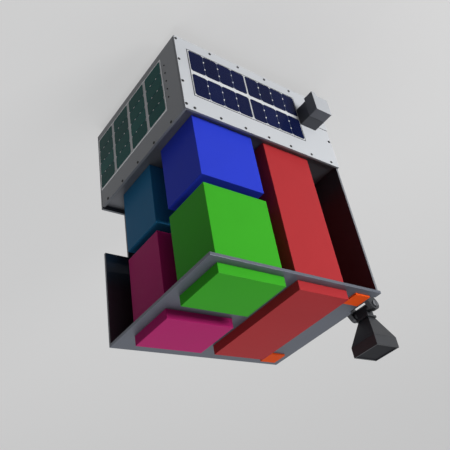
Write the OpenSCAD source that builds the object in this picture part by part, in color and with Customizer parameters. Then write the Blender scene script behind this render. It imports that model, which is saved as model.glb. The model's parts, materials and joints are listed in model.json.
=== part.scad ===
// Microsatellite with an open payload bay, parked on its separation ring.
// Millimetres, Z up, white front panel towards -Y, payload end on top.

/* [Body] */
// Width of the body along X
body_w = 465; // [440:1:520]
// Depth of the body along Y
body_d = 388; // [375:1:450]
// Height of the body without the ring
body_h = 612; // [560:1:700]
// Thickness of the body panels
wall_t = 6; // [4:0.5:9]
// Height of the short panels of the bus
bus_h = 239; // [215:1:260]
// Thickness of the mid deck
deck_t = 7; // [4:0.5:12]
// Drop of the mid deck below the rim of the short panels
deck_drop = 6.5; // [2:0.5:16]
// Thickness of the payload frame
frame_t = 7; // [5:0.5:12]

/* [Separation ring] */
// Height of the ring
ring_h = 30; // [22:1:45]
// Diameter of the bolt circle
ring_pcd = 203.2; // [190:0.1:240]
// Number of bolt holes
ring_holes = 12; // [6:1:24]
// Radius of a bolt hole
ring_hole_r = 3.55; // [2.5:0.05:5]
// Width of the flange, centred on the bolt circle
ring_flange_w = 21; // [18:1:30]
// Thickness of the flange
ring_flange_t = 6; // [4:0.5:10]
// Thickness of the ring wall
ring_wall_t = 4; // [3:0.5:6]
// Slope at the foot and head of the ring wall
ring_fillet = 1.5; // [0.5:0.5:2.5]
// Thickness of the lip that seats on the end panel
ring_lip_t = 3; // [2:0.5:5]

/* [Payload modules] */
// Width of the two stacks along X
stack_w = 163; // [140:1:180]
// Distance of the stacks from the open side
stack_side = 27; // [18:1:36]
// Distance of the modules from the front face
bay_front = 18; // [12:1:24]
// Depth of the front stack
front_stack_d = 131; // [110:1:150]
// Clear depth behind the modules, up to the back face
bay_back = 61; // [40:1:80]
// Gap between the front stack and the back stack
stack_gap = 51; // [25:1:60]
// Gap between the stacks and the tall module
tall_gap = 36; // [20:1:44]
// Width of the spare bay beside the tall module, up to the full side panel's outer face
spare_w = 96.5; // [80:0.5:120]
// Height by which the modules stand out of the frame
module_proud = 22; // [10:1:30]
// Height of the outer modules of both stacks
outer_h = 213.5; // [190:0.5:225]
// Gap between the inner and the outer modules of a stack
module_gap = 21.5; // [8:0.5:40]

/* [Pads] */
// Width of a pad along X
pad_w = 46; // [36:1:50]
// Depth of a pad along Y
pad_d = 43; // [32:1:50]
// Depth by which a pad is let into the frame
pad_t = 4; // [2:0.5:4.5]
// Height by which a pad stands out of the frame
pad_proud = 4; // [1:0.5:8]
// Distance of the pads from the full side panel's outer face
pad_side = 21; // [20:1:26]
// Distance of the pads from the front and back faces
pad_end = 18; // [12:1:26]

/* [Notches] */
// Width of the back panel's notch
notch_w = 60; // [40:1:80]
// Height of the back panel's notch
notch_h = 129; // [90:1:160]
// Strip of back panel left between the short panels' rim and the notch
notch_strip = 5; // [3:0.5:12]
// Width of the frame's edge notch along X
edge_notch_w = 12; // [8:1:16]
// Length of the frame's edge notch along Y
edge_notch_l = 78; // [50:1:90]
// Distance of the frame's edge notch from the front face
edge_notch_y = 20; // [14:1:30]

/* [Cell arrays] */
// Width of a cell
cell_w = 39; // [34:0.5:39.5]
// Length of a cell
cell_l = 69; // [60:0.5:72]
// Gap between the long sides of two cells
cell_gap = 1.5; // [0.8:0.1:2]
// Gap between the short sides of two cells
row_gap = 11; // [6:0.5:12]
// Corner cut of a cell
cell_cut = 4; // [2:0.5:8]
// Height of a cell over its sheet
cell_t = 0.7; // [0.5:0.1:1.5]
// Thickness of an array sheet
sheet_t = 1; // [0.8:0.1:2]
// Margin of a sheet around its cells
sheet_margin = 1.8; // [1:0.1:2.4]
// Gap between the two sheets of the front panel
sheet_gap = 0.8; // [0.5:0.1:2]
// Distance of the front array from the open side
front_array_side = 32; // [24:1:36]
// Distance of the front array from the ring end
front_array_end = 34; // [20:1:40]
// Distance of the side array from the back face
side_array_back = 8.7; // [7:0.1:14]
// Least bare strip between the front face and the side array
side_array_front = 60; // [40:1:66]
// Distance of the side array from the ring end
side_array_end = 22.5; // [16:0.5:30]

/* [Sensor] */
// Width and height of the sensor box
sensor_s = 53; // [40:1:60]
// Depth of the sensor's base
sensor_base_d = 35; // [25:1:45]
// Depth of the sensor's head
sensor_head_d = 30; // [20:1:40]
// Width of the sensor's ridge
ridge_w = 15; // [10:1:20]
// Height of the sensor's ridge
ridge_h = 10; // [5:1:14]
// Gap between the sensor and the front array
sensor_gap = 2; // [1:0.5:8]
// Least distance of the sensor from the full side panel's outer face
sensor_side = 49; // [30:1:54]
// Distance of the sensor from the ring end
sensor_end = 76; // [70:1:100]

/* [Horn] */
// Distance of the pivot from the full side panel's outer face
pivot_out = 27; // [24:1:36]
// Depth of the pivot below the frame's outer face
pivot_drop = 3; // [0:1:12]
// Distance of the horn's middle from the front face
horn_y = 83; // [75:1:110]
// Clear width between the two lugs
lug_clear = 50.5; // [44:0.5:60]
// Thickness of a lug
lug_t = 12; // [8:1:14]
// Radius of a lug's round end
lug_r = 14; // [11:0.5:16]
// Thickness of the bracket's foot
foot_t = 7; // [5:0.5:9]
// Height of the bracket's foot
foot_h = 58; // [50:1:90]
// Depth of the foot's upper edge below the pivot
foot_drop = 6; // [4:1:10]
// Rim of the foot beside the lugs
foot_rim = 5; // [3:0.5:8]
// Corner radius of the foot
foot_r = 5; // [3:0.5:8]
// Depth of the lugs' gussets on the foot, below the pivot
gusset_h = 46; // [30:1:50]
// Radius of the pivot pin
pin_r = 5; // [4:0.25:6]
// Radius of the pin's heads
pin_head_r = 8; // [7:0.25:10]
// Thickness of the pin's heads
pin_head_t = 3; // [2:0.5:5]
// Radial clearance around the pin
pin_fit = 0.05; // [0.02:0.01:0.09]
// Radius of the horn's barrel
barrel_r = 11; // [9:0.5:13]
// Side play of the barrel between the lugs
barrel_play = 0.75; // [0.5:0.05:1.5]
// Width of the neck across the pin
neck_w = 24; // [18:1:28]
// Depth of the neck along the pin
neck_d = 32; // [24:1:34]
// Rim of the throat flange beside the neck
throat_rim = 4; // [2:0.5:5]
// Thickness of the throat flange
throat_t = 4; // [3:0.5:6]
// Corner radius of the throat flange
throat_r = 3; // [2:0.5:6]
// Height of the flare's foot over the pivot
flare_z = 24; // [22:1:30]
// Height of the flare
flare_h = 58; // [40:1:80]
// Width of the square mouth
mouth_w = 75; // [60:1:90]
// Height of the straight skirt
skirt_h = 25; // [15:1:35]
// Wall of the skirt
skirt_t = 3; // [2:0.5:5]
// Thickness of the mouth's cover
cover_t = 4; // [3:0.5:8]
// Width of the ledge that the cover seats on
ledge_w = 2.5; // [1.5:0.5:5]
// Depth of the cover below the skirt's rim
cover_sink = 2; // [1:0.5:4]

/* [Avionics] */
// Width of the avionics block
avionics_w = 260; // [200:1:320]
// Depth of the avionics block
avionics_d = 220; // [160:1:280]
// Height of the avionics block
avionics_h = 150; // [100:1:180]

/* [Hidden] */
$fn = 96;
half_w = body_w / 2;
half_d = body_d / 2;
in_w = body_w - 2 * wall_t;
in_d = body_d - 2 * wall_t;
top_z = ring_h + body_h;
frame_z = top_z - frame_t;
rim_z = ring_h + bus_h;
deck_z = rim_z - deck_drop;
module_top = top_z + module_proud;
stack_x = half_w - stack_side - stack_w;
front_stack_y = -half_d + bay_front;
back_stack_y = front_stack_y + front_stack_d + stack_gap;
back_stack_d = body_d - bay_front - front_stack_d - stack_gap - bay_back;
tall_w = body_w - stack_side - stack_w - tall_gap - spare_w;
tall_d = body_d - bay_front - bay_back;
tall_x = stack_x - tall_gap - tall_w;
inner_h = module_top - outer_h - module_gap - deck_z;
pad_x = -half_w + pad_side;
pocket_z = top_z - pad_t;
// Room for one front sheet beside the sensor, and the whole cells that fit in it
front_room = (body_w - front_array_side - sensor_side - sensor_s - sensor_gap - sheet_gap) / 2;
front_columns = floor((front_room - 2 * sheet_margin + cell_gap) / (cell_w + cell_gap) + 0.02);
sheet_w = front_columns * (cell_w + cell_gap) - cell_gap + 2 * sheet_margin;
// Whole cells that fit along the short side panel behind its bare front strip
side_room = body_d - side_array_back - side_array_front;
side_columns = floor((side_room - 2 * sheet_margin + row_gap) / (cell_l + row_gap) + 0.02);
side_sheet_l = side_columns * (cell_l + row_gap) - row_gap + 2 * sheet_margin;
front_array_x = half_w - front_array_side;
sensor_x = front_array_x - 2 * sheet_w - sheet_gap - sensor_gap - sensor_s;
sensor_z = ring_h + sensor_end;
pivot_x = -half_w - pivot_out;
pivot_z = top_z - pivot_drop;
horn_mid_y = -half_d + horn_y;
lug_in = lug_clear / 2;
lug_out = lug_in + lug_t;
gusset_x = pivot_out - foot_t / 2;
upper_a = acos(lug_r / norm([gusset_x, foot_drop])) - atan2(foot_drop, gusset_x);
lower_a = -acos(lug_r / norm([gusset_x, gusset_h])) - atan2(gusset_h, gusset_x);
skirt_z = flare_z + flare_h;
cover_w = mouth_w - 2 * skirt_t;
bore_w = neck_w - 2 * skirt_t;
bore_d = neck_d - 2 * skirt_t;
ring_in_r = ring_pcd / 2 - ring_flange_w / 2;

// One cell with cut corners, from its own lower left corner
module cell_outline(w, l) {
    polygon([[cell_cut, 0], [w - cell_cut, 0], [w, cell_cut], [w, l - cell_cut],
        [w - cell_cut, l], [cell_cut, l], [0, l - cell_cut], [0, cell_cut]]);
}

// Flat module with cells, lying on the XY plane with its cells up
module array_module(columns, rows, w, l, gap_x, gap_y) {
    sheet_x = columns * w + (columns - 1) * gap_x + 2 * sheet_margin;
    sheet_y = rows * l + (rows - 1) * gap_y + 2 * sheet_margin;
    cube([sheet_x, sheet_y, sheet_t]);
    for (i = [0 : columns - 1])
        for (j = [0 : rows - 1])
            translate([sheet_margin + i * (w + gap_x), sheet_margin + j * (l + gap_y), sheet_t / 2])
                linear_extrude(height = sheet_t / 2 + cell_t)
                    cell_outline(w, l);
}

// Front array sheet from its lower corner nearest the full side panel
module front_sheet(x) {
    translate([x, -half_d, ring_h + front_array_end])
        rotate([90, 0, 0])
            array_module(front_columns, 2, cell_w, cell_l, cell_gap, row_gap);
}

module separation_ring() {
    color([0.72, 0.73, 0.75])
        difference() {
            rotate_extrude($fn = 144)
                polygon([[ring_in_r, 0], [ring_in_r + ring_flange_w, 0],
                    [ring_in_r + ring_flange_w, ring_flange_t],
                    [ring_in_r + ring_wall_t + ring_fillet, ring_flange_t],
                    [ring_in_r + ring_wall_t, ring_flange_t + ring_fillet],
                    [ring_in_r + ring_wall_t, ring_h - ring_lip_t - ring_fillet],
                    [ring_in_r + ring_wall_t + ring_fillet, ring_h - ring_lip_t],
                    [ring_in_r + ring_wall_t + ring_fillet, ring_h], [ring_in_r, ring_h]]);
            for (i = [0 : ring_holes - 1])
                rotate([0, 0, i * 360 / ring_holes])
                    translate([ring_pcd / 2, 0, -1])
                        cylinder(h = ring_flange_t + 2, r = ring_hole_r, $fn = 48);
        }
}

module end_panel() {
    color([0.8, 0.81, 0.83])
        translate([-in_w / 2, -in_d / 2, ring_h])
            cube([in_w, in_d, wall_t]);
}

module front_panel() {
    color([0.93, 0.93, 0.92])
        translate([-half_w, -half_d, ring_h])
            cube([body_w, wall_t, bus_h]);
}

module side_panel_short() {
    color([0.93, 0.93, 0.92])
        translate([half_w - wall_t, -in_d / 2, ring_h])
            cube([wall_t, in_d, bus_h]);
}

module side_panel_full() {
    color([0.2, 0.2, 0.22])
        translate([-half_w, -in_d / 2, ring_h])
            cube([wall_t, in_d, body_h - frame_t]);
}

module back_panel() {
    color([0.2, 0.2, 0.22])
        difference() {
            translate([-half_w, half_d - wall_t, ring_h])
                cube([body_w, wall_t, body_h - frame_t]);
            translate([half_w - notch_w, half_d - wall_t - 1, rim_z + notch_strip])
                cube([notch_w + 1, wall_t + 2, notch_h]);
        }
}

module mid_deck() {
    color([0.25, 0.26, 0.28])
        translate([-in_w / 2, -in_d / 2, deck_z - deck_t])
            cube([in_w, in_d, deck_t]);
}

module payload_frame() {
    color([0.36, 0.38, 0.42])
        difference() {
            translate([-half_w, -half_d, frame_z])
                cube([body_w, body_d, frame_t]);
            translate([stack_x, front_stack_y, frame_z - 1])
                cube([stack_w, front_stack_d, frame_t + 2]);
            translate([stack_x, back_stack_y, frame_z - 1])
                cube([stack_w, back_stack_d, frame_t + 2]);
            translate([tall_x, front_stack_y, frame_z - 1])
                cube([tall_w, tall_d, frame_t + 2]);
            translate([pad_x, -half_d + pad_end, pocket_z])
                cube([pad_w, pad_d, pad_t + 1]);
            translate([pad_x, half_d - pad_end - pad_d, pocket_z])
                cube([pad_w, pad_d, pad_t + 1]);
            translate([-half_w - 1, -half_d + edge_notch_y, frame_z - 1])
                cube([edge_notch_w + 1, edge_notch_l, frame_t + 2]);
        }
}

module payload_green() {
    color([0.25, 0.62, 0.18])
        translate([stack_x, front_stack_y, module_top - outer_h])
            cube([stack_w, front_stack_d, outer_h]);
}

module payload_blue() {
    color([0.2, 0.22, 0.7])
        translate([stack_x, front_stack_y, deck_z])
            cube([stack_w, front_stack_d, inner_h]);
}

module payload_magenta() {
    color([0.62, 0.12, 0.4])
        translate([stack_x, back_stack_y, module_top - outer_h])
            cube([stack_w, back_stack_d, outer_h]);
}

module payload_teal() {
    color([0.15, 0.42, 0.58])
        translate([stack_x, back_stack_y, deck_z])
            cube([stack_w, back_stack_d, inner_h]);
}

module payload_red() {
    color([0.66, 0.16, 0.18])
        translate([tall_x, front_stack_y, deck_z])
            cube([tall_w, tall_d, module_top - deck_z]);
}

module pad_front() {
    color([0.85, 0.3, 0.1])
        translate([pad_x, -half_d + pad_end, pocket_z])
            cube([pad_w, pad_d, pad_t + pad_proud]);
}

module pad_back() {
    color([0.85, 0.3, 0.1])
        translate([pad_x, half_d - pad_end - pad_d, pocket_z])
            cube([pad_w, pad_d, pad_t + pad_proud]);
}

module front_array_a() {
    color([0.1, 0.15, 0.35])
        front_sheet(front_array_x - sheet_w);
}

module front_array_b() {
    color([0.1, 0.15, 0.35])
        front_sheet(front_array_x - 2 * sheet_w - sheet_gap);
}

module side_array() {
    color([0.1, 0.15, 0.35])
        translate([half_w, half_d - side_array_back - side_sheet_l, ring_h + side_array_end])
            rotate([90, 0, 90])
                array_module(side_columns, 4, cell_l, cell_w, row_gap, cell_gap);
}

module sensor_base() {
    color([0.42, 0.43, 0.45])
        translate([sensor_x, -half_d - sensor_base_d, sensor_z])
            cube([sensor_s, sensor_base_d, sensor_s]);
}

module sensor_head() {
    color([0.62, 0.63, 0.65])
        translate([sensor_x, -half_d - sensor_base_d - sensor_head_d, sensor_z])
            union() {
                cube([sensor_s, sensor_head_d, sensor_s]);
                translate([sensor_s - ridge_w, 0, -ridge_h])
                    cube([ridge_w, sensor_head_d, ridge_h + 1]);
            }
}

// One lug of the bracket, standing from the foot out to the pivot
module lug(y) {
    translate([0, y, 0])
        rotate([90, 0, 0])
            union() {
                cylinder(h = lug_t, r = lug_r, center = true);
                translate([0, 0, -lug_t / 2])
                    linear_extrude(height = lug_t)
                        polygon([[0, 0], [lug_r * cos(upper_a), lug_r * sin(upper_a)],
                            [gusset_x, -foot_drop], [gusset_x, -gusset_h],
                            [lug_r * cos(lower_a), lug_r * sin(lower_a)]]);
            }
}

// Square outline with round corners, centred
module round_outline(w, h, r) {
    square([w - 2 * r, h], center = true);
    square([w, h - 2 * r], center = true);
    for (x = [-1, 1])
        for (y = [-1, 1])
            translate([x * (w / 2 - r), y * (h / 2 - r)])
                circle(r = r, $fn = 48);
}

module horn_bracket() {
    color([0.3, 0.31, 0.33])
        translate([pivot_x, horn_mid_y, pivot_z])
            difference() {
                union() {
                    lug(-lug_in - lug_t / 2);
                    lug(lug_in + lug_t / 2);
                    translate([pivot_out - foot_t, 0, -foot_drop - foot_h / 2])
                        rotate([90, 0, 90])
                            linear_extrude(height = foot_t)
                                round_outline(2 * lug_out + 2 * foot_rim, foot_h, foot_r);
                }
                rotate([90, 0, 0])
                    cylinder(h = 2 * lug_out + 2, r = pin_r + pin_fit, center = true);
            }
}

module horn_pin() {
    color([0.75, 0.76, 0.78])
        translate([pivot_x, horn_mid_y, pivot_z])
            rotate([90, 0, 0])
                union() {
                    cylinder(h = 2 * lug_out + 2 * pin_head_t, r = pin_r, center = true);
                    translate([0, 0, lug_out])
                        cylinder(h = pin_head_t, r = pin_head_r);
                    translate([0, 0, -lug_out - pin_head_t])
                        cylinder(h = pin_head_t, r = pin_head_r);
                }
}

module avionics_block() {
    color([0.3, 0.3, 0.32])
        translate([-avionics_w / 2, -avionics_d / 2, ring_h + wall_t])
            cube([avionics_w, avionics_d, avionics_h]);
}

module horn_barrel() {
    color([0.22, 0.23, 0.25])
        translate([pivot_x, horn_mid_y, pivot_z])
            difference() {
                union() {
                    rotate([90, 0, 0])
                        cylinder(h = lug_clear - 2 * barrel_play, r = barrel_r, center = true);
                    translate([-barrel_r, -neck_d / 2, 0])
                        cube([2 * barrel_r, neck_d, flare_z]);
                    translate([0, 0, flare_z - throat_t])
                        linear_extrude(height = throat_t)
                            round_outline(neck_w + 2 * throat_rim, neck_d + 2 * throat_rim, throat_r);
                }
                rotate([90, 0, 0])
                    cylinder(h = lug_clear, r = pin_r + pin_fit, center = true);
            }
}

// Corners of a centred rectangle at one height
function corners(w, d, z) = [[-w / 2, -d / 2, z], [w / 2, -d / 2, z], [w / 2, d / 2, z], [-w / 2, d / 2, z]];

// Straight-sided taper from a rectangle to a square
module taper(w, d, top_w, h) {
    polyhedron(points = concat(corners(w, d, 0), corners(top_w, top_w, h)),
        faces = [[0, 1, 2, 3], [7, 6, 5, 4], [0, 4, 5, 1], [1, 5, 6, 2], [2, 6, 7, 3], [3, 7, 4, 0]]);
}

module horn_flare() {
    color([0.22, 0.23, 0.25])
        translate([pivot_x, horn_mid_y, pivot_z + flare_z])
            difference() {
                taper(neck_w, neck_d, mouth_w, flare_h);
                taper(bore_w, bore_d, cover_w, flare_h);
            }
}

module horn_skirt() {
    color([0.22, 0.23, 0.25])
        translate([pivot_x, horn_mid_y, pivot_z + skirt_z])
            difference() {
                translate([-mouth_w / 2, -mouth_w / 2, 0])
                    cube([mouth_w, mouth_w, skirt_h]);
                translate([-cover_w / 2, -cover_w / 2, skirt_h - cover_t - cover_sink])
                    cube([cover_w, cover_w, skirt_h]);
                translate([-cover_w / 2 + ledge_w, -cover_w / 2 + ledge_w, -1])
                    cube([cover_w - 2 * ledge_w, cover_w - 2 * ledge_w, skirt_h]);
            }
}

module horn_cover() {
    color([0.16, 0.17, 0.18])
        translate([pivot_x, horn_mid_y, pivot_z + skirt_z + skirt_h - cover_t - cover_sink])
            translate([-cover_w / 2, -cover_w / 2, 0])
                cube([cover_w, cover_w, cover_t]);
}

separation_ring();
end_panel();
front_panel();
side_panel_short();
side_panel_full();
back_panel();
mid_deck();
payload_frame();
payload_green();
payload_blue();
payload_magenta();
payload_teal();
payload_red();
pad_front();
pad_back();
front_array_a();
front_array_b();
side_array();
sensor_base();
sensor_head();
horn_bracket();
horn_pin();
avionics_block();
horn_barrel();
horn_flare();
horn_skirt();
horn_cover();
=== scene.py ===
"""Looks of a microsatellite with an open payload bay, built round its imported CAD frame."""

import json
import math

import bmesh
import bpy
from bpy.props import FloatProperty, FloatVectorProperty, PointerProperty
from mathutils import Matrix, Vector
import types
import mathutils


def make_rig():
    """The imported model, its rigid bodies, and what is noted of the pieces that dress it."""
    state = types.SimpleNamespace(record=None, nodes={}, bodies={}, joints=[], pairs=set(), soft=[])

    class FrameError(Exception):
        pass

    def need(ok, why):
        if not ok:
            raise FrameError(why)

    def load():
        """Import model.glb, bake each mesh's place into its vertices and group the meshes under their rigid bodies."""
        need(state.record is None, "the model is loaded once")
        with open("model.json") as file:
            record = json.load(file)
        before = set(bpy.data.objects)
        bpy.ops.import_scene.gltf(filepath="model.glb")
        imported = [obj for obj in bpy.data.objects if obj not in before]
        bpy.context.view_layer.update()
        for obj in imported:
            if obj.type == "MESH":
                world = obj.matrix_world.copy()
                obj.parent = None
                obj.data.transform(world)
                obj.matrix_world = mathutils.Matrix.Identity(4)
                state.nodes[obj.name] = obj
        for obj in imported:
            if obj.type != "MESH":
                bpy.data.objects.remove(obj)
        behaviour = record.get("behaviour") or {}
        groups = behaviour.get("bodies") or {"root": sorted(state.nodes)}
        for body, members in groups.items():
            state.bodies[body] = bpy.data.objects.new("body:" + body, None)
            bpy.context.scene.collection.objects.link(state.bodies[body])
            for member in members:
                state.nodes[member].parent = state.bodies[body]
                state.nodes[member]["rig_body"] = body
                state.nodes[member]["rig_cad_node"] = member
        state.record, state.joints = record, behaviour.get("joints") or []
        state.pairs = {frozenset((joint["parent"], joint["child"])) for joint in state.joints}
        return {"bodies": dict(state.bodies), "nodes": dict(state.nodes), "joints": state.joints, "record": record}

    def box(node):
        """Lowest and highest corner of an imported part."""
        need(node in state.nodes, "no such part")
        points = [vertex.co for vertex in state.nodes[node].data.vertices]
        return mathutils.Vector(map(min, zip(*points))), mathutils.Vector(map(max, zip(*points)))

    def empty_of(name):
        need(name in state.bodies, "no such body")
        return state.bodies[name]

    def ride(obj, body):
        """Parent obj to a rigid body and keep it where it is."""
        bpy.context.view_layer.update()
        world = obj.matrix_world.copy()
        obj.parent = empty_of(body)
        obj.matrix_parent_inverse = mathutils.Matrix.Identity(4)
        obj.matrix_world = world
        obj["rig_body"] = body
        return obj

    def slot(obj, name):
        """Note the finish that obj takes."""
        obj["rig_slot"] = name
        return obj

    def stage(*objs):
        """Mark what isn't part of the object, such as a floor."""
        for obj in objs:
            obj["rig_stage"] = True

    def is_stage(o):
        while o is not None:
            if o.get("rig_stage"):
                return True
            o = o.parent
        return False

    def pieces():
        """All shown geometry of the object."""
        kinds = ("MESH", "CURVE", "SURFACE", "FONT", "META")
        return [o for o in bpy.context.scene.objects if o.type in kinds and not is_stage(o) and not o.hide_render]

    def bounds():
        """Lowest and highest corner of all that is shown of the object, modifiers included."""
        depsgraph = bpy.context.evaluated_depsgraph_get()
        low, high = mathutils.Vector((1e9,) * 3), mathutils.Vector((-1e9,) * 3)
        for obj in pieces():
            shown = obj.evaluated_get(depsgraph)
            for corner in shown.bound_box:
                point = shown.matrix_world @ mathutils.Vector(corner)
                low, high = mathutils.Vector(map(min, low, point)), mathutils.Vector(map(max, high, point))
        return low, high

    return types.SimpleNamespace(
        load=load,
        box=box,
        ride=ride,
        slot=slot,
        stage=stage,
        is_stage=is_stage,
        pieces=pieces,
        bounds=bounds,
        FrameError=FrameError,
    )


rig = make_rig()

bl_info = {
    "name": "Microsatellite looks",
    "version": (1, 0, 0),
    "blender": (4, 5, 0),
    "location": "View3D > Sidebar > Satellite",
    "description": "Finishes, small fittings and stage of a microsatellite",
    "category": "Object",
}

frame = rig.load()
NODES = frame["nodes"]
CAD_BOX = [list(corner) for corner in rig.bounds()]
BODY = "satellite"
MM = 0.001

FRONT_LOW, FRONT_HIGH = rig.box("front_panel")
SIDE_LOW, SIDE_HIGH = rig.box("side_panel_short")
FULL_LOW, FULL_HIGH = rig.box("side_panel_full")
BACK_LOW, BACK_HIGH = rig.box("back_panel")
ARRAY_A_LOW, ARRAY_A_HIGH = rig.box("front_array_a")
ARRAY_B_LOW, ARRAY_B_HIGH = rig.box("front_array_b")
SIDE_ARRAY_LOW, SIDE_ARRAY_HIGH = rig.box("side_array")
BRACKET_LOW, BRACKET_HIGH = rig.box("horn_bracket")

# Cell layout and the bracket foot's thickness, as in the part's source
CELL_W = 39.0 * MM
CELL_L = 69.0 * MM
CELL_GAP = 1.5 * MM
ROW_GAP = 11.0 * MM
SHEET_MARGIN = 1.8 * MM
CELL_T = 0.7 * MM
FRONT_COLUMNS, FRONT_ROWS = 4, 2
SIDE_COLUMNS, SIDE_ROWS = 4, 4
FOOT_T = 7.0 * MM

# Small fittings, in metres and in shares of a cell or a screw head
TAB_T = 0.15 * MM
TAB_TIP = 0.84
TAB_SHARES = (0.32, 0.68)
FRONT_STRIP_EDGE = 0.3 * MM
SIDE_STRIP_EDGE = 0.75 * MM
SHIM_T = 0.6 * MM
SHIM_DROP = 0.5 * MM
SHIM_CORNER = 6.0 * MM
BOLT_SPREAD = 15.0 * MM
BOLT_HEIGHTS = (11.0 * MM, 40.0 * MM)
RIBBON_T = 0.5 * MM
RIBBON_EDGE = 0.15 * MM
RIBBON_INSET = 1.5 * MM
HEAD_SIDES = 12
HEAD_EDGE = 0.3
HEAD_RIM = 0.16
SOCKET_DEPTH = 0.6

# Edge rounding of the CAD nodes
WELD_DISTANCE = 0.01 * MM
SHARP_ANGLE = math.radians(40)

# Skew direction along which a piece's corners and faces are put in order
SORT_AXIS = Vector((1.0, 0.6180339, 0.3247179))

# Stage: lamp places in metres, strengths in watts or, for the two low suns, watts per square metre
LAMP_TARGET = Vector((0.0, 0.0, 0.36))
LAMPS = (
    ("key_softbox", "AREA", Vector((-0.9, -2.8, 0.8)), 72.0, {"size": 1.1}),
    ("top_softbox", "AREA", Vector((0.2, 0.7, 3.2)), 29.0, {"size": 2.0}),
    ("back_fill", "SUN", Vector((-0.3, 3.0, 0.55)), 0.9, {"angle": 0.1}),
    ("far_side_fill", "SUN", Vector((-3.0, -0.5, 0.55)), 0.9, {"angle": 0.1}),
)
AIR_LIGHT, AIR_SEEN = 0.23, 0.7
FLOOR_GLOW = 0.5
FLOOR_REACH = 25.0


def linear(hex_colour):
    """Linear red, green and blue of an sRGB hex colour."""
    channels = [int(hex_colour[i:i + 2], 16) / 255 for i in (1, 3, 5)]
    return tuple(c / 12.92 if c <= 0.04045 else ((c + 0.055) / 1.055) ** 2.4 for c in channels)


def colour_property(name, words, hex_colour):
    """A colour setting with its default written as sRGB hex."""
    return FloatVectorProperty(name=name, description=words, default=linear(hex_colour),
                               subtype="COLOR", size=3, min=0.0, max=1.0)


def length_property(name, words, millimetres):
    """A length setting with its default written in millimetres."""
    return FloatProperty(name=name, description=words, default=millimetres * MM, min=0.0,
                         unit="LENGTH", precision=5)


class SatelliteFinish(bpy.types.PropertyGroup):
    """Colours that a user would change."""

    white: colour_property("Panel paint", "Pale thermal paint on the outer panels", "#C4C7CB")
    # The short side panel's grey paint is painted shade: that side is made darker than the white panels.
    shaded_side_grey: colour_property("Side paint", "Grey thermal paint round the side array", "#8E9095")
    # The dark grey of the bay's inner faces is painted shade.
    inner: colour_property("Bay lining", "Dark anodised inner faces of the payload bay", "#5C5D63")
    # The deck's mid grey is painted shade, darker than the pale deck itself.
    deck: colour_property("Deck", "Anodised deck of the payload bay", "#6A6C71")
    edge: colour_property("Panel edge", "Bare edge of the sandwich panels", "#7C7F84")
    green: colour_property("Green module", "Front outer payload module", "#3BA625")
    blue: colour_property("Blue module", "Front inner payload module", "#2C3EC6")
    magenta: colour_property("Magenta module", "Back outer payload module", "#B4246C")
    teal: colour_property("Teal module", "Back inner payload module", "#276C97")
    red: colour_property("Red module", "Tall payload module", "#AB3135")
    frame_grey: colour_property("Frame grey", "Anodised payload frame", "#5A5F6A")
    pad_orange: colour_property("Pad orange", "Pads let into the frame", "#E4531A")
    # The horn's and bracket's near-black grey is painted shade.
    horn_grey: colour_property("Horn grey", "Anodised horn and bracket", "#2E3034")
    cover_grey: colour_property("Horn cover grey", "Film over the horn's mouth", "#242529")
    sensor_grey: colour_property("Sensor grey", "Anodised sensor base", "#3E4046")
    head_grey: colour_property("Sensor head grey", "Anodised sides of the sensor head", "#5E6168")
    head_face: colour_property("Sensor face", "Painted outer face of the sensor head", "#B2B5B9")
    cell_blue: colour_property("Cell blue", "Front solar cells", "#0A1238")
    cell_green: colour_property("Cell green", "Side solar cells", "#0D5651")
    floor: colour_property("Floor", "Plain studio floor", "#8C8C8C")


class SatelliteSizes(bpy.types.PropertyGroup):
    """Small sizes that a user would change."""

    panel_edge: length_property("Panel edge", "Rounding of panel edges", 0.6)
    module_edge: length_property("Module edge", "Rounding of module edges", 1.0)
    array_edge: length_property("Cell edge", "Rounding of cell edges", 0.15)
    screw_head: length_property("Screw head", "Diameter of a panel screw head", 7.0)
    screw_height: length_property("Screw height", "Height of a panel screw head", 1.2)
    flat_screw_height: length_property("Flat screw height", "Height of a flat screw head", 0.1)
    small_screw: length_property("Small screw head", "Diameter of a small screw head", 4.0)
    bolt_head: length_property("Bolt head", "Diameter of a bracket bolt head", 10.0)
    bolt_height: length_property("Bolt height", "Height of a bracket bolt head", 4.0)
    tab_length: length_property("Tab length", "Length of a cell's connecting tab", 6.5)
    tab_width: length_property("Tab width", "Width of a cell's connecting tab", 4.6)
    rail_width: length_property("Rail width", "Width of the strip round an array", 1.6)
    rail_height: length_property("Rail height", "Height of the strip round an array", 1.3)
    tab_proud: length_property("Tab height", "Height of a tab over the cells", 0.02)
    ribbon_width: length_property("Ribbon width", "Width of the array's bonded ribbon", 1.8)
    shim_edge: length_property("Shim edge", "Border of the shim round the bracket's foot", 4.0)


def per_mm(size):
    """Texture scale whose features are about that many millimetres across."""
    return 1000.0 / size


def rgba(colour, factor=1.0):
    """Colour with alpha, made lighter or darker by a factor."""
    return tuple(min(1.0, c * factor) for c in colour) + (1.0,)


def add(tree, kind, sets=None, values=None, links=None):
    """Adds a node with its settings, socket values and links."""
    node = tree.nodes.new(kind)
    for key, value in (sets or {}).items():
        setattr(node, key, value)
    for key, value in (values or {}).items():
        node.inputs[key].default_value = value
    for key, socket in (links or {}).items():
        tree.links.new(socket, node.inputs[key])
    return node


def start_material(name):
    """A new material with its tree, shader and Texture Coordinate node."""
    material = bpy.data.materials.new(name)
    material.use_nodes = True
    tree = material.node_tree
    return material, tree, tree.nodes["Principled BSDF"], add(tree, "ShaderNodeTexCoord")


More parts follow.
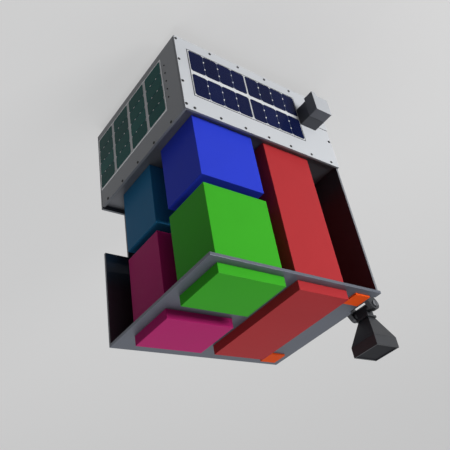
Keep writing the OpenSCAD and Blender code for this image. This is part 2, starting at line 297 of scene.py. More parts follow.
def clouded(tree, position, colour, swing, patch_mm):
    """A colour that drifts by a share either way over patches of that size, and its pattern."""
    patch = add(tree, "ShaderNodeTexNoise", {},
                {"Scale": per_mm(patch_mm), "Detail": 4.0, "Roughness": 0.55}, {"Vector": position})
    mix = add(tree, "ShaderNodeMix", {"data_type": "RGBA"},
              {6: rgba(colour, 1.0 - swing), 7: rgba(colour, 1.0 + swing)},
              {0: patch.outputs["Fac"]})
    return mix.outputs[2], patch.outputs["Fac"]


def dress(tree, shader, position, colour, pattern, rough, grain_mm, grain_depth_mm):
    """Links a colour, a roughness that follows its pattern and a fine grain to the shader."""
    tree.links.new(colour, shader.inputs["Base Color"])
    spread = add(tree, "ShaderNodeMapRange", {}, {"To Min": rough[0], "To Max": rough[1]},
                 {"Value": pattern})
    tree.links.new(spread.outputs["Result"], shader.inputs["Roughness"])
    grain = add(tree, "ShaderNodeTexNoise", {}, {"Scale": per_mm(grain_mm), "Detail": 3.0},
                {"Vector": position})
    bump = add(tree, "ShaderNodeBump", {}, {"Strength": 0.25, "Distance": grain_depth_mm * MM},
               {"Height": grain.outputs["Fac"]})
    tree.links.new(bump.outputs["Normal"], shader.inputs["Normal"])


def satin_paint(name, colour, rough=(0.36, 0.48), swing=0.05, patch_mm=60.0, gloss=0.05):
    """Sprayed polyurethane paint: even satin colour, faint clouds and a fine orange peel."""
    material, tree, shader, where = start_material(name)
    position = where.outputs["Object"]
    shade, pattern = clouded(tree, position, colour, swing, patch_mm)
    dress(tree, shader, position, shade, pattern, rough, grain_mm=1.6, grain_depth_mm=0.05)
    shader.inputs["IOR"].default_value = 1.5
    shader.inputs["Specular IOR Level"].default_value = gloss
    return material


def anodised(name, colour, rough=(0.36, 0.5)):
    """Bead-blasted and anodised aluminium: soft metallic sheen over an even matt grain."""
    material, tree, shader, where = start_material(name)
    position = where.outputs["Object"]
    shade, pattern = clouded(tree, position, colour, swing=0.1, patch_mm=35.0)
    dress(tree, shader, position, shade, pattern, rough, grain_mm=0.8, grain_depth_mm=0.03)
    shader.inputs["Metallic"].default_value = 0.4
    return material


def turned_metal(name, dark_hex, light_hex):
    """Turned bare metal: bright grey with fine turning marks round the upright axis."""
    material, tree, shader, where = start_material(name)
    position = where.outputs["Object"]
    # Turning marks are drawn about 2 mm wide so that they show
    # The wave texture counts in twentieths
    mark_scale = per_mm(2.0) / 20.0
    marks = add(tree, "ShaderNodeTexWave", {"wave_type": "RINGS", "rings_direction": "Z"},
                {"Scale": mark_scale, "Distortion": 0.4, "Detail": 2.0}, {"Vector": position})
    mix = add(tree, "ShaderNodeMix", {"data_type": "RGBA"},
              {6: rgba(linear(dark_hex)), 7: rgba(linear(light_hex))}, {0: marks.outputs["Fac"]})
    dress(tree, shader, position, mix.outputs[2], marks.outputs["Fac"], (0.28, 0.42),
          grain_mm=0.9, grain_depth_mm=0.02)
    shader.inputs["Metallic"].default_value = 0.9
    return material


def two_faced(name, axis, outward, face_colour, back_colour, edge_colour, rough):
    """Plate with a painted outer face, a dark inner face and bare aluminium edges; on the body panels the dark inner
    grey is painted shade.
    """
    material, tree, shader, where = start_material(name)
    position = where.outputs["Object"]
    split = add(tree, "ShaderNodeSeparateXYZ", {}, {}, {0: where.outputs["Normal"]})
    facing_limit = 0.5
    facing_out = add(tree, "ShaderNodeMath", {"operation": "MULTIPLY"}, {1: outward},
                     {0: split.outputs[axis]})
    outer = add(tree, "ShaderNodeMath", {"operation": "GREATER_THAN"}, {1: facing_limit},
                {0: facing_out.outputs[0]})
    inner = add(tree, "ShaderNodeMath", {"operation": "LESS_THAN"}, {1: -facing_limit},
                {0: facing_out.outputs[0]})
    face, pattern = clouded(tree, position, face_colour, swing=0.025, patch_mm=120.0)
    back, _ = clouded(tree, position, back_colour, swing=0.12, patch_mm=40.0)
    outside = add(tree, "ShaderNodeMix", {"data_type": "RGBA"}, {6: rgba(edge_colour)},
                  {0: outer.outputs[0], 7: face})
    both = add(tree, "ShaderNodeMix", {"data_type": "RGBA"}, {},
               {0: inner.outputs[0], 6: outside.outputs[2], 7: back})
    dress(tree, shader, position, both.outputs[2], pattern, rough,
          grain_mm=4.0, grain_depth_mm=0.02)
    metal = add(tree, "ShaderNodeMapRange", {}, {"To Min": 0.0, "To Max": 0.9},
                {"Value": inner.outputs[0]})
    tree.links.new(metal.outputs["Result"], shader.inputs["Metallic"])
    shader.inputs["Specular IOR Level"].default_value = 0.15
    return material


def cell_glass(name, colour, across, along, count, low, face_axis, face_at):
    """Cover glass over dark cells on a white sheet: smooth, deep, each cell a little different."""
    material, tree, shader, where = start_material(name)
    position = where.outputs["Object"]
    split = add(tree, "ShaderNodeSeparateXYZ", {}, {}, {0: position})
    turns, steps, parts = [], [], []
    for axis, pitch in ((across, CELL_W + CELL_GAP), (along, CELL_L + ROW_GAP)):
        start = add(tree, "ShaderNodeMath", {"operation": "SUBTRACT"},
                    {1: low[axis] + SHEET_MARGIN}, {0: split.outputs[axis]})
        turn = add(tree, "ShaderNodeMath", {"operation": "DIVIDE"}, {1: pitch},
                   {0: start.outputs[0]})
        turns.append(turn)
        steps.append(add(tree, "ShaderNodeMath", {"operation": "FLOOR"}, {}, {0: turn.outputs[0]}))
        parts.append(add(tree, "ShaderNodeMath", {"operation": "FRACT"}, {}, {0: turn.outputs[0]}))
    number = add(tree, "ShaderNodeCombineXYZ", {}, {},
                 {0: steps[0].outputs[0], 1: steps[1].outputs[0]})
    chance = add(tree, "ShaderNodeTexWhiteNoise", {}, {}, {"Vector": number.outputs[0]})
    cell = add(tree, "ShaderNodeMix", {"data_type": "RGBA"},
               {6: rgba(colour, 0.8), 7: rgba(colour, 1.3)}, {0: chance.outputs["Value"]})
    # Collecting fingers lie 1.3 mm apart and are drawn 2.6 mm apart so that they show
    finger_pitch, finger_share, finger_strength = 2.6 * MM, 0.14, 0.1
    comb = add(tree, "ShaderNodeMath", {"operation": "DIVIDE"}, {1: finger_pitch},
               {0: split.outputs[along]})
    tooth = add(tree, "ShaderNodeMath", {"operation": "FRACT"}, {}, {0: comb.outputs[0]})
    finger = add(tree, "ShaderNodeMath", {"operation": "LESS_THAN"}, {1: finger_share},
                 {0: tooth.outputs[0]})
    faint = add(tree, "ShaderNodeMath", {"operation": "MULTIPLY"}, {1: finger_strength},
                {0: finger.outputs[0]})
    lined = add(tree, "ShaderNodeMix", {"data_type": "RGBA"}, {7: rgba(linear("#7E8AA0"))},
                {0: faint.outputs[0], 6: cell.outputs[2]})
    # The narrow gaps between cells show the dark bond line, the wide gaps and the margins the white
    # sheet; the slack keeps a gap's whole width dark
    slack = 0.005
    bare_share = CELL_GAP / (CELL_W + CELL_GAP) + slack
    narrow = add(tree, "ShaderNodeMath", {"operation": "GREATER_THAN"}, {1: 1.0 - bare_share},
                 {0: parts[0].outputs[0]})
    inside = add(tree, "ShaderNodeMath", {"operation": "COMPARE"},
                 {1: count / 2, 2: count / 2 - bare_share}, {0: turns[0].outputs[0]})
    between = add(tree, "ShaderNodeMath", {"operation": "MULTIPLY"}, {},
                  {0: narrow.outputs[0], 1: inside.outputs[0]})
    beside = add(tree, "ShaderNodeMath", {"operation": "LESS_THAN"},
                 {1: CELL_L / (CELL_L + ROW_GAP)}, {0: parts[1].outputs[0]})
    bond = add(tree, "ShaderNodeMath", {"operation": "MULTIPLY"}, {},
               {0: between.outputs[0], 1: beside.outputs[0]})
    sheet = add(tree, "ShaderNodeMix", {"data_type": "RGBA"},
                {6: rgba(linear("#D6D8DA")), 7: rgba(linear("#5A6378"))}, {0: bond.outputs[0]})
    # The cells stand higher than the sheet that carries them
    depth = add(tree, "ShaderNodeMath", {"operation": "ABSOLUTE"}, {},
                {0: split.outputs[face_axis]})
    proud = add(tree, "ShaderNodeMath", {"operation": "GREATER_THAN"}, {1: face_at},
                {0: depth.outputs[0]})
    whole = add(tree, "ShaderNodeMix", {"data_type": "RGBA"}, {},
                {0: proud.outputs[0], 6: sheet.outputs[2], 7: lined.outputs[2]})
    ripple = add(tree, "ShaderNodeTexNoise", {}, {"Scale": per_mm(30.0), "Detail": 1.0},
                 {"Vector": position})
    dress(tree, shader, position, whole.outputs[2], ripple.outputs["Fac"], (0.14, 0.22),
          grain_mm=25.0, grain_depth_mm=0.08)
    shader.inputs["IOR"].default_value = 1.45
    shader.inputs["Specular IOR Level"].default_value = 0.03
    return material


def set_material(node_names, material):
    """Gives CAD nodes one finish."""
    for node_name in node_names:
        mesh = NODES[node_name].data
        mesh.materials.clear()
        mesh.materials.append(material)


def soften(node_names, width, segments=2):
    """Rounds the edges of CAD nodes so that they catch the light."""
    for node_name in node_names:
        node = NODES[node_name]
        weld = node.modifiers.new("Weld", "WELD")
        weld.merge_threshold = WELD_DISTANCE
        bevel = node.modifiers.new("Edges", "BEVEL")
        bevel.width = width
        bevel.segments = segments
        bevel.limit_method = "ANGLE"
        bevel.angle_limit = SHARP_ANGLE


def new_piece(name, bm, material, slot):
    """Makes an object of a bmesh, with its finish, that rides on the satellite."""
    bmesh.ops.recalc_face_normals(bm, faces=bm.faces)
    # A flat ring can come out of that inside out
    if bm.calc_volume(signed=True) < 0.0:
        bmesh.ops.reverse_faces(bm, faces=bm.faces)
    # The bevel's own order of faces changes from run to run
    bm.verts.sort(key=lambda vert: vert.co.dot(SORT_AXIS))
    bm.faces.sort(key=lambda face: face.calc_center_median().dot(SORT_AXIS))
    mesh = bpy.data.meshes.new(name)
    bm.to_mesh(mesh)
    bm.free()
    mesh.materials.append(material)
    piece = bpy.data.objects.new(name, mesh)
    bpy.context.scene.collection.objects.link(piece)
    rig.ride(piece, BODY)
    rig.slot(piece, slot)


# Turns that take +Z to an outward direction
FACING = {
    "-Y": Matrix.Rotation(math.radians(90), 4, "X"),
    "+Y": Matrix.Rotation(math.radians(-90), 4, "X"),
    "+X": Matrix.Rotation(math.radians(90), 4, "Y"),
    "-X": Matrix.Rotation(math.radians(-90), 4, "Y"),
}


def add_screw(bm, place, direction, diameter, height):
    """One round-edged cap head with a sunk socket, standing on a face."""
    turn = Matrix.Translation(place) @ FACING[direction]
    outward = (turn.to_3x3() @ Vector((0, 0, 1))).normalized()
    made = bmesh.ops.create_cone(bm, cap_ends=True, segments=HEAD_SIDES, radius1=diameter / 2,
                                 radius2=diameter / 2, depth=height,
                                 matrix=turn @ Matrix.Translation((0, 0, height / 2)))
    faces = {f for v in made["verts"] for f in v.link_faces}
    top = max(faces, key=lambda f: f.calc_center_median().dot(outward))
    bmesh.ops.bevel(bm, geom=list(top.edges), offset=height * HEAD_EDGE, offset_type="OFFSET",
                    segments=2, profile=0.5, affect="EDGES", material=-1)
    near = [f for f in bm.faces if (f.calc_center_median() - turn.translation).length < diameter]
    top = max(near, key=lambda f: f.calc_center_median().dot(outward))
    bmesh.ops.inset_individual(bm, faces=[top], thickness=diameter * HEAD_RIM, depth=0.0)
    bmesh.ops.translate(bm, verts=list(top.verts), vec=-outward * height * SOCKET_DEPTH)


def span(start, end, count):
    """Evenly spaced values from start to end."""
    return [start + (end - start) * i / (count - 1) for i in range(count)]


class SATELLITE_OT_panels(bpy.types.Operator):
    """Paints the body panels and rounds their edges"""

    bl_idname = "satellite.panels"
    bl_label = "Body panels"

    def execute(self, context):
        sizes, colours = context.scene.satellite_sizes, context.scene.satellite_finish
        for node_name, axis, outward, paint in (
                ("front_panel", 1, -1.0, colours.white),
                # The short side panel's grey outer face is painted shade.
                ("side_panel_short", 0, 1.0, colours.shaded_side_grey),
                ("side_panel_full", 0, -1.0, colours.white),
                ("back_panel", 1, 1.0, colours.white)):
            # Each panel's inner face takes the dark bay grey, a painted shade of the bay.
            set_material((node_name,), two_faced("lined_" + node_name, axis, outward, paint,
                                                 colours.inner, colours.edge, rough=(0.27, 0.33)))
        # The deck's mid grey is painted shade of the bay.
        set_material(("mid_deck",), anodised("anodised_deck_painted_shade", colours.deck, (0.3, 0.42)))
        set_material(("end_panel",), anodised("clear_anodised_end_panel", linear("#B4B6B9")))
        soften(("front_panel", "side_panel_short", "side_panel_full", "back_panel", "end_panel"),
               sizes.panel_edge)
        return {"FINISHED"}


class SATELLITE_OT_arrays(bpy.types.Operator):
    """Finishes the solar cells"""

    bl_idname = "satellite.arrays"
    bl_label = "Solar arrays"

    def execute(self, context):
        sizes, colours = context.scene.satellite_sizes, context.scene.satellite_finish
        front_face = -ARRAY_A_LOW.y - CELL_T * 0.5
        side_face = SIDE_ARRAY_HIGH.x - CELL_T * 0.5
        for node_name, low in (("front_array_a", ARRAY_A_LOW), ("front_array_b", ARRAY_B_LOW)):
            set_material((node_name,), cell_glass(
                node_name + "_cover_glass", colours.cell_blue, across=0, along=2,
                count=FRONT_COLUMNS, low=low, face_axis=1, face_at=front_face))
        set_material(("side_array",), cell_glass(
            "side_array_cover_glass", colours.cell_green, across=2, along=1,
            count=SIDE_ROWS, low=SIDE_ARRAY_LOW, face_axis=0, face_at=side_face))
        soften(("front_array_a", "front_array_b", "side_array"), sizes.array_edge, 1)
        return {"FINISHED"}


class SATELLITE_OT_tabs(bpy.types.Operator):
    """Adds the silver tabs that join neighbouring cells, two to a gap"""

    bl_idname = "satellite.tabs"
    bl_label = "Cell tabs"

    def execute(self, context):
        sizes = context.scene.satellite_sizes
        bm = bmesh.new()
        for place, direction in self.places():
            turn = Matrix.Translation(place) @ FACING[direction]
            shape = Matrix.Diagonal((sizes.tab_width, sizes.tab_length, TAB_T, 1.0))
            middle = Matrix.Translation((0, 0, sizes.tab_proud - TAB_T / 2))
            bmesh.ops.create_cone(bm, cap_ends=True, segments=4, radius1=0.5, radius2=0.5 * TAB_TIP,
                                  depth=1.0, matrix=turn @ middle @ shape)
        # Silver-plated foil, dulled by its coating: small bright dots on the dark cells
        material = satin_paint("silver_plated_cell_tabs", linear("#E8EAEC"), rough=(0.25, 0.35),
                               swing=0.04, patch_mm=10.0)
        new_piece("cell_tabs", bm, material, "bare_aluminium")
        return {"FINISHED"}

    def places(self):
        """Tab places over the narrow gaps, each with the direction that it faces."""
        found = []
        for low in (ARRAY_A_LOW, ARRAY_B_LOW):
            for column in range(1, FRONT_COLUMNS):
                x = low.x + SHEET_MARGIN + column * (CELL_W + CELL_GAP) - CELL_GAP / 2
                for row in range(FRONT_ROWS):
                    z = low.z + SHEET_MARGIN + row * (CELL_L + ROW_GAP)
                    found += [(Vector((x, low.y, z + CELL_L * share)), "-Y")
                              for share in TAB_SHARES]
        low = SIDE_ARRAY_LOW
        for row in range(1, SIDE_ROWS):
            z = low.z + SHEET_MARGIN + row * (CELL_W + CELL_GAP) - CELL_GAP / 2
            for column in range(SIDE_COLUMNS):
                y = low.y + SHEET_MARGIN + column * (CELL_L + ROW_GAP)
                found += [(Vector((SIDE_ARRAY_HIGH.x, y + CELL_L * share, z)), "+X")
                          for share in TAB_SHARES]
        return found


class SATELLITE_OT_rails(bpy.types.Operator):
    """Adds the thin aluminium strips round the arrays"""

    bl_idname = "satellite.rails"
    bl_label = "Array edge strips"

    def execute(self, context):
        sizes = context.scene.satellite_sizes
        front, side = bmesh.new(), bmesh.new()
        width = ARRAY_A_HIGH.x - ARRAY_B_LOW.x
        height = ARRAY_A_HIGH.z - ARRAY_A_LOW.z
        middle = Vector(((ARRAY_A_HIGH.x + ARRAY_B_LOW.x) / 2, FRONT_LOW.y,
                         (ARRAY_A_LOW.z + ARRAY_A_HIGH.z) / 2))
        self.add_strip(front, middle, "-Y", width, height, sizes, FRONT_STRIP_EDGE)
        depth = SIDE_ARRAY_HIGH.y - SIDE_ARRAY_LOW.y
        height = SIDE_ARRAY_HIGH.z - SIDE_ARRAY_LOW.z
        middle = (SIDE_ARRAY_LOW + SIDE_ARRAY_HIGH) / 2
        middle.x = SIDE_HIGH.x
        self.add_strip(side, middle, "+X", height, depth, sizes, SIDE_STRIP_EDGE)
        # Drawn aluminium: the dark strip is a painted shadow line round the front array, the near-white strip a
        # painted highlight along the side array's edge
        dark = anodised("painted_shadow_line_strip", linear("#4A4C51"))
        # The side strip's near-white colour is a painted highlight.
        clear = anodised("painted_highlight_strip", linear("#F2F3F4"), rough=(0.25, 0.35))
        new_piece("front_array_strip", front, dark, "dark_grey")
        new_piece("side_array_strip", side, clear, "bare_aluminium")
        return {"FINISHED"}

    def add_strip(self, bm, middle, direction, width, height, sizes, edge):
        """A closed rectangular strip round a sheet, with its upper edges rounded by that much."""
        rail = sizes.rail_width
        turn = Matrix.Translation(middle) @ FACING[direction]
        size = Matrix.Diagonal((width + 2 * rail, height + 2 * rail, 1.0, 1.0))
        made = bmesh.ops.create_grid(bm, x_segments=1, y_segments=1, size=0.5, matrix=turn @ size)
        face = made["verts"][0].link_faces[0]
        ring = bmesh.ops.inset_individual(bm, faces=[face], thickness=rail, depth=0.0)["faces"]
        bmesh.ops.delete(bm, geom=[face], context="FACES")
        outward = turn.to_3x3() @ Vector((0, 0, 1))
        grown = bmesh.ops.extrude_face_region(bm, geom=ring, use_keep_orig=True)["geom"]
        tops = [g for g in grown if isinstance(g, bmesh.types.BMFace)]
        bmesh.ops.translate(bm, verts=list({v for f in tops for v in f.verts}),
                            vec=outward * sizes.rail_height)
        rims = list({e for f in tops for e in f.edges if len(e.link_faces) == 2
                     and any(abs(g.normal.dot(outward)) < 0.5 for g in e.link_faces)})
        bmesh.ops.bevel(bm, geom=rims, offset=edge, offset_type="OFFSET", segments=2,
                        profile=0.5, affect="EDGES", material=-1)


class SATELLITE_OT_modules(bpy.types.Operator):
    """Paints the payload modules and rounds their edges"""

    bl_idname = "satellite.modules"
    bl_label = "Payload modules"

    def execute(self, context):
        sizes, colours = context.scene.satellite_sizes, context.scene.satellite_finish
        for name in ("green", "blue", "magenta", "teal", "red"):
            paint = satin_paint(name + "_module_paint", getattr(colours, name))
            set_material(("payload_" + name,), paint)
            soften(("payload_" + name,), sizes.module_edge, segments=3)
        return {"FINISHED"}


class SATELLITE_OT_frame(bpy.types.Operator):
    """Finishes the payload frame and its pads"""

    bl_idname = "satellite.frame"
    bl_label = "Payload frame and pads"

    def execute(self, context):
        sizes, colours = context.scene.satellite_sizes, context.scene.satellite_finish
        set_material(("payload_frame",), anodised("grey_anodised_frame", colours.frame_grey))
        # Sprayed insulating coating: flat strong colour with hardly any shine
        coating = satin_paint("orange_pad_coating", colours.pad_orange, rough=(0.45, 0.58),
                              swing=0.07, patch_mm=15.0)
        set_material(("pad_front", "pad_back"), coating)
        soften(("payload_frame", "pad_front", "pad_back"), sizes.panel_edge)
        return {"FINISHED"}


class SATELLITE_OT_sensor(bpy.types.Operator):
    """Finishes the sensor box on the front panel"""

    bl_idname = "satellite.sensor"
    bl_label = "Sensor box"

    def execute(self, context):
        sizes, colours = context.scene.satellite_sizes, context.scene.satellite_finish
        set_material(("sensor_base",), anodised("dark_anodised_sensor_base", colours.sensor_grey))
        set_material(("sensor_head",), two_faced(
            "sensor_head_paint", 1, -1.0, colours.head_face, colours.sensor_grey, colours.head_grey,
            rough=(0.36, 0.5)))
        soften(("sensor_base", "sensor_head"), sizes.module_edge)
        return {"FINISHED"}


class SATELLITE_OT_horn(bpy.types.Operator):
    """Finishes the horn, its bracket and its pin, and adds the bracket's shim and bolts"""

    bl_idname = "satellite.horn"
    bl_label = "Horn antenna"

    def execute(self, context):
        sizes, colours = context.scene.satellite_sizes, context.scene.satellite_finish
        dark = ("horn_barrel", "horn_flare", "horn_skirt", "horn_bracket")
        # The horn's and bracket's near-black grey is painted shade.
        set_material(dark, anodised("anodised_horn_painted_shade", colours.horn_grey))
        soften(dark, sizes.panel_edge)
        # Black-filled polyimide film, stretched over the mouth: dull and slightly patchy
        set_material(("horn_cover",), satin_paint(
            "horn_cover_film", colours.cover_grey, rough=(0.45, 0.58), swing=0.12, patch_mm=20.0))
        set_material(("horn_pin",), turned_metal("ground_pin_steel", "#5E6064", "#7C7E82"))
        self.add_shim(sizes)
        self.add_bolts(sizes)
        return {"FINISHED"}

    def add_shim(self, sizes):
        """Black insulating shim under the bracket's foot, with rounded corners."""
        low, high = BRACKET_LOW, BRACKET_HIGH
        edge = sizes.shim_edge
        top = FULL_HIGH.z - SHIM_DROP
        size = Vector((SHIM_T, high.y - low.y + 2 * edge, top - low.z + edge))
        middle = Vector((FULL_LOW.x - SHIM_T / 2, (low.y + high.y) / 2, top - size.z / 2))
        bm = bmesh.new()
        bmesh.ops.create_cube(bm, size=1.0,
                              matrix=Matrix.Translation(middle) @ Matrix.Diagonal(size.to_4d()))
        corners = [e for e in bm.edges if abs((e.verts[0].co - e.verts[1].co).x) > SHIM_T / 2]
        bmesh.ops.bevel(bm, geom=corners, offset=SHIM_CORNER, offset_type="OFFSET", segments=5,
                        profile=0.5, affect="EDGES", material=-1)
        # Pressed glass epoxy sheet: matt black with a faint mottle
        material = satin_paint("black_glass_epoxy_shim", linear("#1B1B1D"), rough=(0.45, 0.6),
                               swing=0.1, patch_mm=8.0)
        new_piece("bracket_shim", bm, material, "dark_grey")

    def add_bolts(self, sizes):
        """Four bolts that hold the bracket's foot, between its lugs."""
        middle_y = (BRACKET_LOW.y + BRACKET_HIGH.y) / 2
        face_x = FULL_LOW.x - FOOT_T
        bm = bmesh.new()
        for y in (middle_y - BOLT_SPREAD, middle_y + BOLT_SPREAD):
            for z in BOLT_HEIGHTS:
                place = Vector((face_x, y, BRACKET_LOW.z + z))
                add_screw(bm, place, "-X", sizes.bolt_head, sizes.bolt_height)
        # Oiled black steel: dark with a soft sheen on the rims
        material = anodised("blackened_steel_bolts", linear("#1E1E21"))
        new_piece("bracket_bolts", bm, material, "steel")


class SATELLITE_OT_ring(bpy.types.Operator):
    """Finishes the separation ring and the avionics block"""

    bl_idname = "satellite.ring"
    bl_label = "Separation ring"

    def execute(self, context):
        colours = context.scene.satellite_finish
        turned = turned_metal("turned_ring_aluminium", "#A7A9AC", "#C6C8CA")
        set_material(("separation_ring",), turned)
        set_material(("avionics_block",), anodised("dark_anodised_avionics", colours.horn_grey))
        return {"FINISHED"}


class SATELLITE_OT_screws(bpy.types.Operator):
    """Adds the black screws along the panels' edges"""

    bl_idname = "satellite.screws"
    bl_label = "Panel screws"

    def execute(self, context):
        sizes = context.scene.satellite_sizes
        bm = bmesh.new()
        for place, direction in self.front_places() + self.side_places():
            add_screw(bm, place, direction, sizes.screw_head, sizes.screw_height)
        for place, direction in self.hidden_places():
            add_screw(bm, place, direction, sizes.screw_head, sizes.flat_screw_height)
        for place, direction in self.array_places():
            add_screw(bm, place, direction, sizes.small_screw, sizes.screw_height)
        # Black oxide steel: near-black dots with a soft sheen
        material = anodised("black_oxide_screws", linear("#101012"))
        new_piece("panel_screws", bm, material, "dark_grey")
        return {"FINISHED"}

    def array_places(self):
        """A column of small screws beside the side array."""
        first_z, last_z = SIDE_LOW.z + 54 * MM, SIDE_LOW.z + 159 * MM
        y = SIDE_ARRAY_LOW.y - 14 * MM
        return [(Vector((SIDE_HIGH.x, y, z)), "+X") for z in span(first_z, last_z, 5)]

    def front_places(self):
        """Rows along the rim and the ring end, columns along both sides of the front panel."""
        low, high = FRONT_LOW, FRONT_HIGH
        rim_z, ring_z = high.z - 9 * MM, low.z + 10 * MM
        rim_start, ring_start, row_end = high.x - 25 * MM, high.x - 100 * MM, low.x + 26 * MM
        open_x, horn_x = high.x - 4.5 * MM, low.x + 8 * MM
        open_end, horn_end = high.z - 13 * MM, high.z - 87 * MM
        found = [(x, rim_z) for x in span(rim_start, row_end, 7)]
        found += [(x, ring_z) for x in span(ring_start, row_end, 5)]
        found += [(open_x, z) for z in span(ring_z, open_end, 4)]
        found += [(horn_x, z) for z in span(ring_z, horn_end, 3)]
        return [(Vector((x, low.y, z)), "-Y") for x, z in found]

    def side_places(self):
        """A row along the rim of the short side panel."""
        first_y, last_y, rim_z = SIDE_LOW.y + 51 * MM, SIDE_HIGH.y - 29 * MM, SIDE_HIGH.z - 6 * MM
        return [(Vector((SIDE_HIGH.x, y, rim_z)), "+X") for y in span(first_y, last_y, 5)]

    def hidden_places(self):
        """Edge screws of the back panel and the full side panel."""
        low, high = BACK_LOW, BACK_HIGH
        edge, row_start, row_end, below_bracket = 10 * MM, 80 * MM, 20 * MM, 90 * MM
        found = [(Vector((low.x + edge, high.y, z)), "+Y")
                 for z in span(low.z + edge, high.z - edge, 8)]
        for x in span(low.x + row_start, high.x - row_end, 6):
            found += [(Vector((x, high.y, z)), "+Y") for z in (low.z + edge, high.z - edge)]
        low, high = FULL_LOW, FULL_HIGH
        for z in span(low.z + edge, high.z - below_bracket, 7):
            found += [(Vector((low.x, y, z)), "-X") for y in (low.y + edge, high.y - edge)]
        return found


class SATELLITE_OT_ribbon(bpy.types.Operator):
    """Adds the array's thin ribbon, bonded along the front panel under the sensor"""

    bl_idname = "satellite.ribbon"
    bl_label = "Array ribbon"

    def execute(self, context):
        sizes = context.scene.satellite_sizes
        middle = (ARRAY_B_LOW.z + ARRAY_B_HIGH.z) / 2
        bm = bmesh.new()
        start, end = ARRAY_B_LOW.x - sizes.rail_width, FRONT_LOW.x + RIBBON_INSET
        size = Matrix.Diagonal((abs(start - end), RIBBON_T, sizes.ribbon_width, 1.0))
        centre = Vector(((start + end) / 2, FRONT_LOW.y - RIBBON_T / 2, middle))
        bmesh.ops.create_cube(bm, size=1.0, matrix=Matrix.Translation(centre) @ size)
        bmesh.ops.bevel(bm, geom=list(bm.edges), offset=RIBBON_EDGE, offset_type="OFFSET",
                        segments=1, profile=0.5, affect="EDGES", material=-1)
        # Polyimide film over copper strips: a thin dark line with a dull shine
        material = satin_paint("dark_ribbon_film", linear("#26272B"), rough=(0.4, 0.5),
                               swing=0.1, patch_mm=12.0)
        new_piece("array_ribbon", bm, material, "dark_grey")
        return {"FINISHED"}


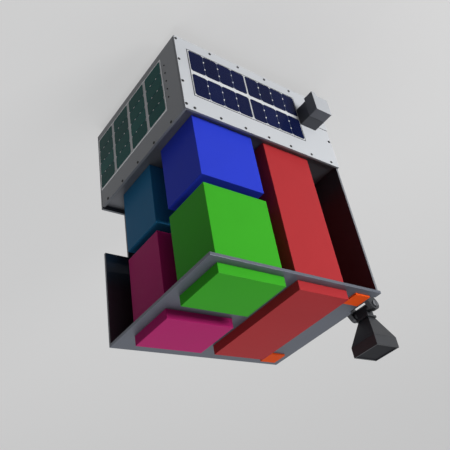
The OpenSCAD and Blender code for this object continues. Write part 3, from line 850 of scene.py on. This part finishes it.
class SATELLITE_OT_stage(bpy.types.Operator):
    """Adds the floor, the lamps and the camera"""

    bl_idname = "satellite.stage"
    bl_label = "Stage"

    def execute(self, context):
        scene = context.scene
        scene.view_settings.view_transform = "Standard"
        self.add_floor(scene)
        world = bpy.data.worlds.new("studio_air")
        scene.world = world
        world.use_nodes = True
        self.fill_world(world.node_tree)
        for lamp in LAMPS:
            self.add_lamp(scene, *lamp)
        self.add_camera(scene)
        return {"FINISHED"}

    def seen_rays(self, tree):
        """One for rays that show the background: from the camera, off gloss or through glass."""
        path = add(tree, "ShaderNodeLightPath")
        direct = add(tree, "ShaderNodeMath", {"operation": "MAXIMUM"}, {},
                     {0: path.outputs["Is Camera Ray"], 1: path.outputs["Is Transmission Ray"]})
        return add(tree, "ShaderNodeMath", {"operation": "MAXIMUM"}, {},
                   {0: path.outputs["Is Glossy Ray"], 1: direct.outputs[0]}).outputs[0]

    def fill_world(self, tree):
        """Soft air light, pale where the camera or a reflection sees it."""
        sky = tree.nodes["Background"]
        sky.inputs["Color"].default_value = rgba(linear("#F4F5F7"))
        level = add(tree, "ShaderNodeMapRange", {}, {"To Min": AIR_LIGHT, "To Max": AIR_SEEN},
                    {"Value": self.seen_rays(tree)})
        tree.links.new(level.outputs["Result"], sky.inputs["Strength"])

    def add_floor(self, scene):
        """Plain floor, pale where it is seen and darker to the light that it gives back."""
        bm = bmesh.new()
        bmesh.ops.create_grid(bm, x_segments=1, y_segments=1, size=FLOOR_REACH)
        mesh = bpy.data.meshes.new("studio_floor")
        bm.to_mesh(mesh)
        bm.free()
        material, tree, shader, where = start_material("matt_floor_paint")
        colour = scene.satellite_finish.floor
        position = where.outputs["Object"]
        shade, pattern = clouded(tree, position, colour, swing=0.01, patch_mm=900.0)
        dress(tree, shader, position, shade, pattern, (0.85, 0.95),
              grain_mm=3.0, grain_depth_mm=0.02)
        shader.inputs["Emission Color"].default_value = rgba(linear("#F2F2F2"))
        glow = add(tree, "ShaderNodeMapRange", {}, {"To Min": 0.0, "To Max": FLOOR_GLOW},
                   {"Value": self.seen_rays(tree)})
        tree.links.new(glow.outputs["Result"], shader.inputs["Emission Strength"])
        mesh.materials.append(material)
        floor = bpy.data.objects.new("studio_floor", mesh)
        scene.collection.objects.link(floor)
        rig.stage(floor)

    def add_lamp(self, scene, name, kind, place, power, sets):
        """A soft lamp that looks at the middle of the satellite."""
        lamp = bpy.data.lights.new(name, kind)
        lamp.energy = power
        for key, value in sets.items():
            setattr(lamp, key, value)
        holder = bpy.data.objects.new(name, lamp)
        holder.location = place
        holder.rotation_euler = (LAMP_TARGET - place).to_track_quat("-Z", "Y").to_euler()
        scene.collection.objects.link(holder)

    def add_camera(self, scene):
        """Camera at the photograph's place, turned over because the payload end is up here."""
        right = Vector((-0.74455, -0.6305, 0.21744))
        down = Vector((-0.22975, 0.54886, 0.80373))
        forward = Vector((-0.62639, 0.54868, -0.5537))
        place = Vector((831.7, -943.6, 1236.6)) * MM
        focal, centre, frame_size = 622.7, (297.0, 214.7), 450.0
        data = bpy.data.cameras.new("photo_camera")
        data.sensor_width = 36.0
        data.lens = focal * data.sensor_width / frame_size
        data.shift_x = 0.5 - centre[0] / frame_size
        data.shift_y = centre[1] / frame_size - 0.5
        camera = bpy.data.objects.new("photo_camera", data)
        turn = Matrix((right, -down, -forward)).transposed().to_4x4()
        camera.matrix_world = Matrix.Translation(place) @ turn
        scene.collection.objects.link(camera)
        scene.camera = camera


class SATELLITE_PT_sidebar(bpy.types.Panel):
    """Lists the settings and the steps"""

    bl_idname = "SATELLITE_PT_sidebar"
    bl_label = "Satellite"
    bl_space_type = "VIEW_3D"
    bl_region_type = "UI"
    bl_category = "Satellite"

    def draw(self, context):
        for group in (context.scene.satellite_finish, context.scene.satellite_sizes):
            for key in group.bl_rna.properties.keys():
                if key not in ("rna_type", "name"):
                    self.layout.prop(group, key)
        for step in STEPS:
            self.layout.operator(step.bl_idname)


STEPS = (
    SATELLITE_OT_panels,
    SATELLITE_OT_arrays,
    SATELLITE_OT_tabs,
    SATELLITE_OT_rails,
    SATELLITE_OT_modules,
    SATELLITE_OT_frame,
    SATELLITE_OT_sensor,
    SATELLITE_OT_horn,
    SATELLITE_OT_ring,
    SATELLITE_OT_screws,
    SATELLITE_OT_ribbon,
    SATELLITE_OT_stage,
)
CLASSES = (SatelliteFinish, SatelliteSizes) + STEPS + (SATELLITE_PT_sidebar,)


def register():
    for cls in CLASSES:
        bpy.utils.register_class(cls)
    bpy.types.Scene.satellite_finish = PointerProperty(type=SatelliteFinish)
    bpy.types.Scene.satellite_sizes = PointerProperty(type=SatelliteSizes)


def unregister():
    del bpy.types.Scene.satellite_sizes
    del bpy.types.Scene.satellite_finish
    for cls in reversed(CLASSES):
        bpy.utils.unregister_class(cls)


def main():
    register()
    bpy.ops.satellite.panels()
    bpy.ops.satellite.arrays()
    bpy.ops.satellite.tabs()
    bpy.ops.satellite.rails()
    bpy.ops.satellite.modules()
    bpy.ops.satellite.frame()
    bpy.ops.satellite.sensor()
    bpy.ops.satellite.horn()
    bpy.ops.satellite.ring()
    bpy.ops.satellite.screws()
    bpy.ops.satellite.ribbon()
    bpy.ops.satellite.stage()
    visual_box = [list(corner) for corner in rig.bounds()]
    with open("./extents.json", "w") as size_file:
        json.dump({"cad": CAD_BOX, "visual": visual_box}, size_file)


if __name__ == "__main__":
    main()
